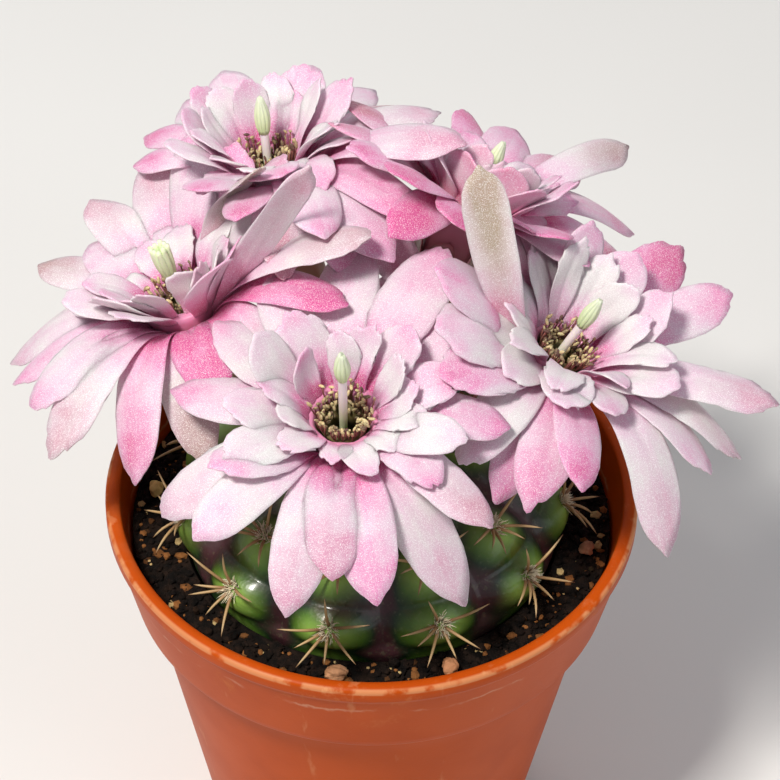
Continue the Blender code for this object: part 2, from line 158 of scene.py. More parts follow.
def joinShapes(shapes):  # one shape from several (verts, faces, data)
    verts, faces, data = [], [], {}
    for more, moreFaces, moreData in shapes:
        start = len(verts)
        verts += more
        faces += [tuple(start + corner for corner in face) for face in moreFaces]
        for key, values in moreData.items():
            data.setdefault(key, []).extend(values)
    return verts, faces, data


def ringFaces(rings, sides):  # quads between closed rings of points
    faces = []
    for low in range(0, (rings - 1) * sides, sides):
        for side in range(sides):
            after = (side + 1) % sides
            faces.append((low + side, low + after, low + sides + after, low + sides + side))
    return faces


def tubeFaces(rings, sides):  # the same, with both ends closed
    ends = [tuple(reversed(range(sides))), tuple(range((rings - 1) * sides, rings * sides))]
    return ringFaces(rings, sides) + ends


def tubeShape(points, radii, sides, chance=0):  # round stem along points
    verts, data = [], []
    last = len(points) - 1
    for index, point in enumerate(points):
        heading = (points[min(index + 1, last)] - points[max(index - 1, 0)]).normalized()
        if index == 0:
            aside = heading.orthogonal().normalized()
        else:
            aside = (aside - heading * aside.dot(heading)).normalized()
        across = heading.cross(aside)
        for side in range(sides):
            angle = math.tau * side / sides
            verts.append(point + (aside * math.cos(angle) + across * math.sin(angle)) * radii[index])
            data.append((index / last, chance, 0))
    return verts, tubeFaces(len(points), sides), {"map": data}


def turnedShape(profile, steps):  # profile from the axis out, down the outer side, back to the axis
    verts = []
    for radius, height in profile:
        for step in range(steps):
            angle = math.tau * step / steps
            verts.append(Vector((radius * math.cos(angle), radius * math.sin(angle), height)))
    return verts, [(a, d, c, b) for a, b, c, d in ringFaces(len(profile), steps)], {}


def level(angle):  # level direction at an angle from +X
    return Vector((math.cos(angle), math.sin(angle), 0))


def smoothStep(value):
    value = min(max(value, 0), 1)
    return value * value * (3 - 2 * value)


# Camera, floor and light

view = dict(place=(0, -0.27575, 0.34777), forward=(0.00510, 0.71056, -0.70362),
            up=(-0.01395, 0.70361, 0.71045), lens=151.15, sensor=36, nearest=0.01)

forward = Vector(view["forward"]).normalized()
sideways = forward.cross(Vector(view["up"])).normalized()
upward = sideways.cross(forward)
camera = bpy.data.objects.new("camera", bpy.data.cameras.new("camera"))
turn = Matrix((sideways, upward, -forward)).transposed().to_4x4()
camera.matrix_world = Matrix.Translation(view["place"]) @ turn
camera.data.lens = view["lens"]
camera.data.sensor_width = view["sensor"]
camera.data.clip_start = view["nearest"]
scene.collection.objects.link(camera)
scene.camera = camera
scene.view_settings.view_transform = "Standard"

lampAim = Vector((0, 0, 0.06))
lamps = {
    "key": dict(place=(-0.22, -0.25, 0.68), size=0.12, power=5.4, colour=(1, 0.97, 0.92)),
    "fill": dict(place=(0.55, -0.30, 0.45), size=0.6, power=0.9, colour=(0.92, 0.96, 1)),
    "back": dict(place=(-0.15, 0.55, 0.50), size=0.5, power=1.2, colour=(1, 1, 1)),
}
for name, lamp in lamps.items():
    light = bpy.data.lights.new(name, "AREA")
    light.size = lamp["size"]
    light.energy = lamp["power"]
    light.color = lamp["colour"]
    holder = bpy.data.objects.new(name, light)
    holder.location = lamp["place"]
    holder.rotation_euler = (lampAim - Vector(lamp["place"])).to_track_quat("-Z", "Y").to_euler()
    scene.collection.objects.link(holder)

sky = dict(colour=(0.90, 0.93, 1, 1), strength=0.27)
world = bpy.data.worlds.new("world")
world.use_nodes = True
background = world.node_tree.nodes["Background"]
background.inputs["Color"].default_value = sky["colour"]
background.inputs["Strength"].default_value = sky["strength"]
scene.world = world

stand = dict(size=6, drop=0.2 * mm, rough=0.9, grain=60, dark=(0.70, 0.69, 0.67), light=(0.76, 0.75, 0.73))
floorFinish = Finish("floor", Roughness=stand["rough"])
grain = floorFinish.noise(stand["grain"], 2)
floorFinish.shade(Base_Color=floorFinish.mix(grain, stand["dark"], stand["light"]))
bpy.ops.mesh.primitive_plane_add(size=stand["size"], location=(0, 0, -stand["drop"]))
floor = bpy.context.object
floor.name = "floor"
floor.data.materials.append(floorFinish.material)
print("camera, lights and floor set")


# Pot

pot = dict(height=58 * mm, rim=32.5 * mm, lip=1.8 * mm, lipDepth=2.2 * mm, lipRound=0.55 * mm, collar=13.3 * mm,
           collarFoot=29.7 * mm, step=1.9 * mm, base=20 * mm, wall=1.3 * mm, floor=1.8 * mm, steps=144,
           drains=4, drainRadius=2.2 * mm, drainDepth=8 * mm, drainPlace=13 * mm, sharpAngle=50,
           colour=(0.50, 0.072, 0.003), deep=(0.43, 0.058, 0.0025), scuffAndHighlight=(0.66, 0.28, 0.12), lime=(0.56, 0.22, 0.09),
           tide=(0.66, 0.42, 0.28), tideDrop=5 * mm, tideWave=6 * mm, shine=0.1, grain=0.12 * mm)


def potProfile():
    height, rim, lip, wall, base = pot["height"], pot["rim"], pot["lip"], pot["wall"], pot["base"]
    collarFoot, inside, around = pot["collarFoot"], pot["floor"], pot["lipRound"]
    foot, lipFoot = height - pot["collar"], height - pot["lipDepth"]
    top, inner = collarFoot - pot["step"], rim - lip
    outline = [(0, inside), (base - 3 * wall, inside), (base - wall, inside + 1.2 * mm),
               (top - wall, foot - 0.4 * mm), (top - wall + 0.4 * mm, foot), (collarFoot - wall, foot + 0.4 * mm)]
    for share in (0.1, 0.3, 0.5, 0.7, 0.9):
        outline.append((collarFoot - wall + share * (inner - collarFoot + wall),
                        foot + 0.5 * mm + share * (pot["collar"] - 1.5 * mm)))
    for degrees in range(0, 181, 20):  # rounded lip
        angle = math.radians(180 - degrees)
        outline.append((rim - lip / 2 + lip / 2 * math.cos(angle), height - around + around * math.sin(angle)))
    outline += [(rim, lipFoot + 0.3 * mm), (rim - 0.12 * mm, lipFoot), (rim - 0.45 * mm, lipFoot - 0.25 * mm)]
    for share in (0.04, 0.3, 0.6, 0.9, 0.97):
        outline.append((rim - 0.5 * mm + share * (collarFoot - rim + 0.5 * mm),
                        lipFoot - 0.4 * mm + share * (foot - height + pot["lipDepth"] + 0.4 * mm)))
    outline += [(collarFoot - 0.1 * mm, foot), (collarFoot - 0.35 * mm, foot - 0.12 * mm),
                (top + 0.15 * mm, foot - 0.2 * mm), (top, foot - 0.5 * mm)]
    for share in (0.1, 0.4, 0.7, 0.95):
        outline.append((top + share * (base - top), foot - 0.5 * mm + share * (1 * mm - foot)))
    return outline + [(base - 0.05 * mm, 0.4 * mm), (base - 0.5 * mm, 0), (0, 0)]


def potFinish():
    look = Finish("potPlastic", Specular_IOR_Level=pot["shine"])
    place = look.place()
    across, ahead, height = look.split(place)
    radius = (across * across + ahead * ahead) ** 0.5
    top, rim = pot["height"], pot["rim"]
    cloud = look.noise(70, 4, place)
    streak = look.noise(1, 5, look.node("Mapping", None, {"Vector": place, "Scale": (420, 420, 45)}))
    grainy = look.noise(2600, 2, place)
    onCollar = look.ramp(height, top - pot["collar"] - 1 * mm, top - 2 * mm)
    scuffs = look.ramp(look.noise(170, 7, place, 0.72), 0.57, 0.72) * onCollar
    scratches = look.ramp(streak, 0.64, 0.72) * 0.35
    lime = look.ramp(look.noise(52, 5, place, 0.6), 0.56, 0.74) * look.ramp(height, 46 * mm, 55 * mm) * 0.3
    # painted highlight and wear: a broken pale line along the rim's outer top edge, partly rubbed wear and partly a
    # painted highlight
    edge = look.ramp(radius, rim - 0.55 * mm, rim - 0.25 * mm) * look.ramp(height, top - 0.9 * mm, top - 0.6 * mm)
    wornAndHighlight = edge * look.ramp(look.noise(420, 5, place), 0.34, 0.52) * 0.75
    offTide = height - (top - pot["tideDrop"]) - (look.noise(85, 5, place, 0.65) - 0.5) * pot["tideWave"]
    tide = look.ramp(offTide, -0.5 * mm, 0.05 * mm) * look.ramp(offTide, 0.35 * mm, 0)
    tide = tide * look.ramp(look.noise(150, 3, place), 0.44, 0.60)
    colour = look.mix(look.ramp(cloud, 0.35, 0.7), pot["colour"], pot["deep"])
    colour = look.mix(tide * 0.45, colour, pot["tide"])
    # the pale scuff colour paints collar scuffs, scratches and the rim line, which is also a painted highlight
    colour = look.mix((scuffs * 0.45 + scratches + wornAndHighlight).clamped(), colour, pot["scuffAndHighlight"])
    colour = look.mix(lime, colour, pot["lime"])
    rough = (0.34 + cloud * 0.16 + scuffs * 0.3 + lime * 0.2).clamped()
    relief = look.bump(grainy * 0.4 + cloud + scratches, 0.25, pot["grain"])
    return look.shade(Base_Color=colour, Roughness=rough, Normal=relief)


def buildPot():
    piece = makePiece("potShell", turnedShape(potProfile(), pot["steps"]), potFinish(), ["pot"])
    shape = bmesh.new()
    shape.from_mesh(piece.data)
    bmesh.ops.remove_doubles(shape, verts=shape.verts, dist=0.01 * mm)
    bmesh.ops.recalc_face_normals(shape, faces=shape.faces)
    shape.to_mesh(piece.data)
    shape.free()
    for index in range(pot["drains"]):
        angle = math.tau * index / pot["drains"]
        spot = (pot["drainPlace"] * math.cos(angle), pot["drainPlace"] * math.sin(angle), 0)
        bpy.ops.mesh.primitive_cylinder_add(radius=pot["drainRadius"], depth=pot["drainDepth"], vertices=32,
                                            location=spot)
        drill = bpy.context.object
        hole = piece.modifiers.new("hole", "BOOLEAN")
        hole.operation = "DIFFERENCE"
        hole.object = drill
        bpy.context.view_layer.objects.active = piece
        with bpy.context.temp_override(object=piece):
            bpy.ops.object.modifier_apply(modifier="hole")
        bpy.data.objects.remove(drill)
    piece.data.shade_smooth()
    piece.data.set_sharp_from_angle(angle=math.radians(pot["sharpAngle"]))


buildPot()
print("pot turned")


# Body: ribs notched into chins, over a flattened globe

# the dark and light body greens are painted shade in the clefts and painted light on the chin tops; purple and green
# are the plant's own colour
body = dict(radius=23 * mm, waist=54 * mm, rise=12 * mm, depth=14 * mm, ribs=11, frontRib=258, ribHeight=2.5 * mm,
            hollow=0.9 * mm, ribStart=-4, ribFade=9, rows=(12, 38, 62), rowStep=25.5, lowest=-70, columns=264,
            bands=120, creases=((2.2 * mm, 0.10 * mm), (0.8 * mm, 0.03 * mm)), green=(0.072, 0.165, 0.016),
            light=(0.28, 0.47, 0.08), dark=(0.012, 0.035, 0.012), purple=(0.065, 0.022, 0.026),
            speck=(0.30, 0.36, 0.18), pores=0.15 * mm)


def globePoint(compass, latitude):
    turn, lift = math.radians(compass), math.radians(latitude)
    height = body["rise"] if latitude > 0 else body["depth"]
    radius = body["radius"] * math.cos(lift)
    return Vector((radius * math.cos(turn), radius * math.sin(turn), body["waist"] + height * math.sin(lift)))


def globeNormal(point):
    height = body["rise"] if point.z > body["waist"] else body["depth"]
    return Vector((point.x / body["radius"] ** 2, point.y / body["radius"] ** 2,
                   (point.z - body["waist"]) / height ** 2)).normalized()


def reliefParts(compass, latitude):
    crest = math.cos(math.radians(compass - body["frontRib"]) * body["ribs"] / 2) ** 2
    row = math.cos(math.pi * (latitude - body["rows"][0]) / body["rowStep"]) ** 2
    return crest, row


def relief(compass, latitude):
    crest, row = reliefParts(compass, latitude)
    swell = body["ribHeight"] * crest ** 0.5 * (0.5 + 0.5 * row ** 0.5) - body["hollow"]
    fade = smoothStep((latitude - body["ribStart"]) / body["ribFade"])
    return swell * fade * math.cos(math.radians(latitude)) ** 0.5


def skinPoint(compass, latitude):
    plain = globePoint(compass, latitude)
    return plain + globeNormal(plain) * relief(compass, latitude)


def bodyShape():
    verts, data = [], []
    columns, bands = body["columns"], body["bands"]
    for band in range(bands + 1):
        latitude = body["lowest"] + (90 - body["lowest"]) * band / bands
        for column in range(columns):
            compass = 360 * column / columns
            point = skinPoint(compass, latitude)
            wrinkle = sum(noise.noise(point / size) * depth for size, depth in body["creases"])
            verts.append(point + globeNormal(globePoint(compass, latitude)) * wrinkle)
            data.append((*reliefParts(compass, latitude), latitude / 90))
    return verts, ringFaces(bands + 1, columns) + [tuple(reversed(range(columns)))], {"map": data}


def bodyFinish():
    look = Finish("cactusSkin", IOR=1.45, Coat_Weight=0.5, Coat_Roughness=0.16, Subsurface_Weight=0.08,
                  Subsurface_Radius=(0.3, 0.6, 0.2), Subsurface_Scale=0.003)
    crest, row, _ = look.parts("map")
    place = look.place()
    cloud = look.noise(180, 4, place)
    speck = look.ramp(look.noise(1500, 3, place), 0.56, 0.70)
    # painted light and shade: the colour ramp follows the relief, with near-black green in the clefts as painted shade
    # and lighter green on the chin tops as painted light, over the plant's own purple grooves
    chinLightAndShade = (crest * (row * 0.75 + 0.25) + (cloud - 0.5) * 0.45).clamped()
    stops = ((0.0, body["purple"]), (0.10, body["dark"]), (0.30, body["green"]), (0.85, body["light"]))
    colour = look.node("ValToRGB", dict(stops=stops), {0: chinLightAndShade})
    colour = look.mix(look.ramp(look.noise(95, 3, place), 0.50, 0.66) * (1 - chinLightAndShade) * 0.8, colour, body["purple"])
    colour = look.mix(speck * 0.14, colour, body["speck"])
    rough = (0.30 + cloud * 0.18 + (1 - crest) * 0.15).clamped()
    height = look.noise(900, 4, place) * 0.5 + look.node("TexVoronoi", None, dict(Vector=place, Scale=2400)) * 0.5
    return look.shade(Base_Color=colour, Roughness=rough, Normal=look.bump(height, 0.35, body["pores"]))


makePiece("cactusSkin", bodyShape(), bodyFinish(), ["cactus_body"])
print("body shaped")


# Areoles: wool pads and curved spines

spine = dict(fan=((-140, 5.6), (-80, 6.6), (-10, 5.2), (72, 6.4), (135, 5.8), (178, 4.4), (-112, 4.6)), joints=7,
             radius=0.17 * mm, point=0.02 * mm, lift=0.5, areoleLift=3, clearance=9 * mm, aged=(0.42, 0.26, 0.12),
             tones=((0.0, (0.13, 0.055, 0.03)), (0.22, (0.30, 0.16, 0.07)), (0.45, (0.46, 0.29, 0.12)),
                    (0.85, (0.56, 0.40, 0.20)), (1.0, (0.25, 0.12, 0.06))))
wool = dict(hairs=120, reach=0.85, long=(0.6, 1.4), radii=(0.07 * mm, 0.06 * mm, 0.02 * mm),
            shade=(0.60, 0.48, 0.30), light=(0.95, 0.86, 0.62))


def seatPoint(bloom):
    x, y = bloom["seat"][0] * mm, bloom["seat"][1] * mm
    return Vector((x, y, body["waist"] + body["rise"] * math.sqrt(1 - (x * x + y * y) / body["radius"] ** 2)))


def areoles():
    found = []
    seats = [seatPoint(bloom) for bloom in blooms.values()]
    for rib in range(body["ribs"]):
        compass = body["frontRib"] + 360 * rib / body["ribs"]
        for latitude in body["rows"]:
            spot = skinPoint(compass, latitude + spine["areoleLift"])
            if min((spot - seat).length for seat in seats) >= spine["clearance"]:
                normal = globeNormal(spot)
                aside = Vector((0, 0, 1)).cross(normal).normalized()
                found.append((spot, normal, aside, normal.cross(aside)))
    return found


def spineShapes(draw):
    shapes = []
    last = spine["joints"]
    for spot, normal, aside, uphill in areoles():
        for angle, length in spine["fan"]:
            angle = math.radians(angle + draw.uniform(-12, 12))
            spread = uphill * math.cos(angle) + aside * math.sin(angle)
            length = length * mm * draw.uniform(0.92, 1.04)
            course = (normal * spine["lift"] + spread).normalized()
            root = spot - normal * 0.4 * mm + spread * 0.25 * mm
            tip = spot + course * length
            sag = (normal * 0.9 - spread * 0.2) * mm * draw.uniform(0.3, 1)
            points, radii = [], []
            for step in range(last + 1):
                points.append(root.lerp(tip, step / last) + sag * math.sin(math.pi * step / last) * 0.6)
                radius = spine["radius"] * (1.15 - 0.35 * step / last) * (1 - (step / last) ** 5)
                radii.append(radius + spine["point"])
            shapes.append(tubeShape(points, radii, 7, draw.random()))
    return shapes


def woolShapes(draw):
    shapes = []
    for spot, normal, aside, uphill in areoles():
        for _ in range(wool["hairs"]):
            angle, reach = draw.uniform(0, math.tau), draw.uniform(0, 1) ** 0.6
            spread = aside * math.cos(angle) + uphill * math.sin(angle) * 1.2
            root = spot - normal * 0.25 * mm + spread * reach * wool["reach"] * mm
            lean = normal + spread * reach * 0.9 + aside * draw.uniform(-0.4, 0.4)
            lean = (lean + uphill * draw.uniform(-0.4, 0.4)).normalized()
            long = draw.uniform(*wool["long"]) * mm
            curl = aside * draw.uniform(-0.25, 0.25) * mm + uphill * draw.uniform(-0.25, 0.25) * mm
            points = [root, root + lean * long * 0.55, root + lean * long + curl]
            shapes.append(tubeShape(points, wool["radii"], 3, draw.random()))
    return shapes


def spineFinish():
    look = Finish("spines", IOR=1.5)
    along, chance, _ = look.parts("map")
    colour = look.node("ValToRGB", dict(stops=spine["tones"]), {0: along})
    colour = look.mix(chance * 0.4, colour, spine["aged"])
    return look.shade(Base_Color=colour, Roughness=0.42 + chance * 0.15)


def woolFinish():
    look = Finish("areoleWool", Roughness=0.95, Sheen_Weight=0.3)
    along, chance, _ = look.parts("map")
    return look.shade(Base_Color=look.mix((along * 0.7 + chance * 0.5).clamped(), wool["shade"], wool["light"]))


# Flowers

petal = dict(outer=dict(root=(4.3, -2.6), rise=38, width=7.3, cup=(0.26, -0.18), curl=(0.0, 0.9),
                        teeth=(0.1, 0.25, 0.8)),
             middle=dict(root=(4.1, -1.4), rise=30, width=6.5, cup=(0.20, -0.04), curl=(-0.3, 0.8),
                         teeth=(0.7, 1.2, 1.8), opening=(63, 15)),
             inner=dict(root=(3.9, -0.4), rise=20, width=4.6, cup=(0.22, 0.04), curl=(-0.5, 0.7),
                        teeth=(1.3, 1.9, 2.5), opening=(56, 17)),
             paler=dict(outer=0, middle=0.14, inner=0.32), thick=0.38 * mm, grain=0.12 * mm,
             white=(0.72, 0.67, 0.68), pale=(0.72, 0.51, 0.63), pink=(0.73, 0.27, 0.48), deep=(0.67, 0.08, 0.29),
             olive=(0.26, 0.19, 0.08), cream=(0.78, 0.74, 0.58), glintWhite=(0.98, 0.96, 0.97), glintShade=(0.62, 0.44, 0.54))
tube = dict(depth=0.9 * mm, stems=(7 * mm, 9 * mm), pit=3.5 * mm, pitDepth=5 * mm, slope=0.34, steps=28, sides=36,
            girth=((0, 2.6), (0.1, 2.6), (0.25, 3.0), (0.6, 3.4), (0.82, 4.0), (1, 4.9)),
            scales=((0.16, 20), (0.16, 140), (0.18, 260), (0.34, 20), (0.34, 80), (0.34, 140), (0.36, 200), (0.34, 260),
                    (0.36, 320), (0.6, 80), (0.6, 200), (0.6, 320), (0.58, 20), (0.58, 140), (0.58, 260)),
            scaleWidth=3.8 * mm, green=(0.10, 0.14, 0.03), margin=(0.62, 0.30, 0.30), rosy=(0.56, 0.26, 0.30),
            speck=(0.24, 0.12, 0.07), grain=0.1 * mm,
            tones=((0.0, (0.05, 0.09, 0.02)), (0.5, (0.42, 0.28, 0.16)), (0.82, (0.68, 0.26, 0.36)),
                   (1.0, (0.74, 0.28, 0.46))))
# Outer petals: compass, spread, reach, and where it matters the side they face, browning, pinkness and width
blooms = {
    "front": dict(
        throat=(-3.4, -10, 80), lean=(10, 265), seat=(-2.5, -8), sag=285, style=12.5, reach=(15.5, 11), blush=0.22,
        open=0,
        outer=((36, 82, 20, 36, 0, 0.35, 1.1), (60, 78, 24.5, 60, 0, 0.3, 1.15), (72, 92, 24, 72, 0, 0.4, 1.1),
               (88, 80, 23, 88, 0, 0.15, 1.1), (118, 78, 20), (142, 82, 19), (170, 88, 20), (208, 98, 24),
               (216, 72, 19), (228, 84, 24), (256, 98, 25, 256, 0.25, 0.15), (268, 92, 21, 268, 0.35, 0.4),
               (280, 98, 23, 280, 0, 0.45), (308, 116, 25, 308, 0.25, 0.1), (320, 92, 22), (356, 86, 19)),
        middle=(10, 46, 126, 158, 190, 216, 312, 338),
        inner=(8, 30, 62, 96, 142, 176, 204, 232, 262, 288, 314, 342)),
    "left": dict(
        throat=(-23.2, 10, 80), lean=(20, 165), seat=(-9.5, 3), sag=120, style=8, reach=(15, 11.5), blush=0.26,
        open=0.8,
        outer=((4, 45, 21, 290, 1, 0, 0.6), (34, 64, 21), (56, 62, 20, 56, 0, 0.45, 1.1),
               (76, 60, 21, 76, 0, 0.25, 1.15), (96, 71, 22, 96, 0.5, 0.2, 1.2), (122, 71, 20),
               (152, 80, 20, 152, 0.8), (176, 98, 24, 176, 0.2, 0.15), (198, 92, 22), (220, 88, 23),
               (232, 95, 26, 232, 0.5, 0.05), (252, 106, 25), (272, 116, 22, 272, 1, 0.1),
               (286, 98, 18, 286, 0, 0.95), (308, 101, 21), (336, 89, 23, 336, 0, 0.85),
               (346, 54, 28, 285, 0.15, 0.25, 0.85), (348, 78, 27, 348, 0.6, 0.05)),
        middle=(24, 95, 135, 170, 196, 226, 250, 310, 332),
        inner=(12, 48, 84, 118, 150, 180, 208, 236, 262, 290, 318, 346)),
    "right": dict(
        throat=(22.4, 3.8, 78), lean=(25, 355), seat=(9, 1), sag=240, style=9.5, reach=(16.5, 13), blush=0.14,
        open=0,
        outer=((28, 68, 23, 28, 0.1, 0.4), (52, 74, 23, 52, 0.2, 0.85), (84, 86, 19, 84, 0, 0.6), (110, 78, 20),
               (136, 72, 20), (170, 48, 28, 262, 1, 0.1, 0.72), (184, 71, 21, 184, 0, 0.3, 1.15),
               (204, 77, 21, 204, 0, 0.15, 1.2), (216, 86, 20.5, 216, 0, 0.4, 1.1), (238, 104, 22),
               (256, 113, 21), (264, 104, 22, 264, 0.1, 0.45), (276, 89, 21, 276, 0, 0.6),
               (308, 101, 27, 308, 0.3, 0.05), (330, 90, 23), (342, 88, 25), (348, 72, 26, 348, 0.4, 0.2)),
        middle=(28, 60, 92, 122, 168, 194, 228, 262, 292, 322),
        inner=(10, 42, 74, 104, 134, 164, 192, 220, 248, 276, 304, 340)),
    "back_left": dict(
        throat=(-13.2, 25.9, 88), lean=(15, 115), seat=(-4.5, 8.5), sag=275, style=8.5, reach=(13, 10.8), blush=0.30,
        open=0,
        outer=((15, 84, 22), (40, 92, 21, 40, 0.9), (52, 88, 21), (76, 77, 19), (108, 77, 19), (124, 86, 20),
               (146, 90, 19), (168, 92, 17), (242, 74, 17), (260, 86, 17), (276, 104, 21), (290, 88, 22),
               (300, 108, 22), (308, 100, 24, 308, 0, 0.3, 1.1), (318, 115, 26, 318, 0.3, 0.2, 1.2),
               (320, 93, 24, 320, 0, 0.6), (337, 78, 26.5, 337, 0.3, 0.3)),
        middle=(20, 62, 140, 172, 200, 228, 280, 304, 336),
        inner=(5, 32, 58, 84, 110, 136, 162, 190, 222, 262, 300, 335)),
    "back_right": dict(
        throat=(12, 21.9, 86), lean=(30, 35), seat=(4.5, 8.5), sag=90, style=8, reach=(12.5, 10), blush=0.50,
        open=0,
        outer=((28, 90, 25), (44, 71, 26, 44, 0.8, 0, 0.72), (50, 80, 20), (76, 77, 19), (96, 80, 19),
               (104, 110, 20), (132, 88, 19), (158, 84, 20, 158, 0.6), (182, 84, 20), (206, 82, 20),
               (228, 77, 20, 228, 0, 0.8), (238, 96, 19, 238, 0, 0.9), (256, 80, 17, 256, 0, 0.85),
               (280, 70, 17, 280, 0, 0.8), (304, 72, 17, 304, 0, 0.7), (324, 84, 17), (340, 92, 19),
               (358, 92, 21)),
        middle=(10, 44, 80, 112, 146, 180, 212, 244, 275, 302, 336),
        inner=(0, 24, 50, 76, 102, 130, 158, 186, 214, 242, 270, 296, 322, 344)),
}


def bloomFrame(bloom):  # origin at the throat, +Z up the bloom's axis
    tilt, compass = map(math.radians, bloom["lean"])
    axis = Vector((math.sin(tilt) * math.cos(compass), math.sin(tilt) * math.sin(compass), math.cos(tilt)))
    right = (Vector((1, 0, 0)) - axis * axis.x).normalized()
    turn = Matrix((right, axis.cross(right), axis)).transposed().to_4x4()
    return Matrix.Translation(Vector(bloom["throat"]) * mm) @ turn


def halfWidth(along):  # share of a petal's full width
    return 0.44 + 0.56 * smoothStep(along / 0.62)


def bladeShape(root, bend, tip, side, width, draw, toothed, tone, cup, curl=(0, 0), rows=14, columns=18):
    thick = petal["thick"]
    coarse = [draw.random() for _ in range(columns // 3 + 2)]
    teeth = [coarse[(column + 1) // 3] * 0.75 + draw.random() ** 3 * 0.55 for column in range(columns + 1)]
    ragged = [[draw.uniform(-1, 0.4) for _ in range(rows + 1)] for _ in range(2)]
    twist, sway, curl = draw.uniform(-0.3, 0.3), draw.uniform(-0.8, 0.8) * mm, draw.uniform(*curl) * mm
    cupped = draw.uniform(0.75, 1.25)
    blunt = min(0.74 * width / (tip - root).length, 0.32)
    wave, phase = draw.uniform(0.05, 0.2) * mm, draw.uniform(0, 6)
    verts, faces, maps, tones = [], [], [], []
    for face in (1, -1):
        for row in range(rows + 1):
            for column in range(columns + 1):
                edge = 2 * column / columns - 1
                notch = teeth[column] * toothed * 0.042 if 0 < column < columns else 0
                end = 1 - blunt * (1 - math.sqrt(1 - abs(edge) ** 2.2)) - notch + 0.03 * math.exp(-(edge / 0.2) ** 2)
                along = (row / rows) ** 0.85 * end
                spot = root * (1 - along) ** 2 + bend * (2 * along * (1 - along)) + tip * along ** 2
                course = ((bend - root) * (1 - along) + (tip - bend) * along).normalized()
                turned = (side + course.cross(side) * twist * along).normalized()
                turned = (turned - course * turned.dot(course)).normalized()
                normal = course.cross(turned)
                half = width / 2 * halfWidth(along)
                if abs(edge) > 0.99:
                    half *= 1 + 0.07 * toothed * ragged[int(edge > 0)][row] * smoothStep((along - 0.35) / 0.3)
                bowl = cupped * (cup[0] + (cup[1] - cup[0]) * smoothStep(along / 0.8))
                rise = half * bowl * abs(edge) ** 1.8
                rise -= 0.14 * mm * math.exp(-(edge / 0.18) ** 2) * math.sin(math.pi * min(along * 1.1, 1))
                rise += wave * math.sin(9 * along + phase + edge * 2) * abs(edge)
                rise -= curl * smoothStep((along - 0.6) / 0.4) ** 1.5
                rise += face * thick / 2 * (1 - 0.8 * abs(edge) ** 4) * (1 - 0.5 * along ** 3)
                verts.append(spot + turned * (half * edge) + turned * sway * math.sin(math.pi * along) + normal * rise)
                maps.append((along, edge, face))
                tones.append(tone)
    across, layer = columns + 1, (rows + 1) * (columns + 1)
    for row in range(rows):
        for column in range(columns):
            low = row * across + column
            faces.append((low, low + across, low + across + 1, low + 1))
            low += layer
            faces.append((low, low + 1, low + across + 1, low + across))
    rim = [row * across for row in range(rows + 1)]
    rim += [rows * across + column for column in range(1, across)]
    rim += [row * across + columns for row in range(rows - 1, -1, -1)]
    rim += [column for column in range(columns - 1, 0, -1)]
    for first, second in zip(rim, rim[1:] + rim[:1]):
        faces.append((first, first + layer, second + layer, second))
    return verts, faces, {"map": maps, "tone": tones}


def whorlPetals(bloom, whorl, draw):
    if whorl == "outer":
        return bloom["outer"]
    opening, swing = petal[whorl]["opening"]
    reach = bloom["reach"][0 if whorl == "middle" else 1]
    found = []
    for compass in bloom[whorl]:
        turned = compass + draw.uniform(-5, 5)
        spread = opening + swing * math.cos(math.radians(compass - bloom["sag"])) + draw.uniform(-8, 9)
        found.append((turned, spread, reach * draw.uniform(0.82, 1.12)))
    return found


def aim(degrees):
    return level(math.radians(degrees))


def petalShape(place, whorl, spec, draw, blush):
    kind = petal[whorl]
    compass, spread, reach, facing, browning, tint, widen = spec + (None,) * (7 - len(spec))
    facing = compass if facing is None else facing
    outward, footing = aim(compass), aim(compass * 0.8 + facing * 0.2)
    upward, opening = Vector((0, 0, 1)), math.radians(spread)
    rise = math.radians(min(kind["rise"], spread * 0.7 + 4))
    root = (footing * kind["root"][0] + upward * kind["root"][1]) * mm
    tip = (outward * math.sin(opening) + upward * math.cos(opening)) * reach * mm
    bend = root + (footing * math.sin(rise) + upward * math.cos(rise)) * (tip - root).length / 2
    pinkness = blush + draw.uniform(-0.2, 0.3) - petal["paler"][whorl]
    olive = draw.random() ** 3 * 0.7 if whorl == "outer" and reach > 19 else 0
    tone = (pinkness if tint is None else tint, olive if browning is None else browning, draw.random())
    side = place.to_3x3() @ upward.cross(aim(facing))
    width = kind["width"] * mm * draw.uniform(0.86, 1.08) * (widen or 1)
    return bladeShape(place @ root, place @ bend, place @ tip, side, width, draw, draw.choice(kind["teeth"]), tone,
                      kind["cup"], kind["curl"])


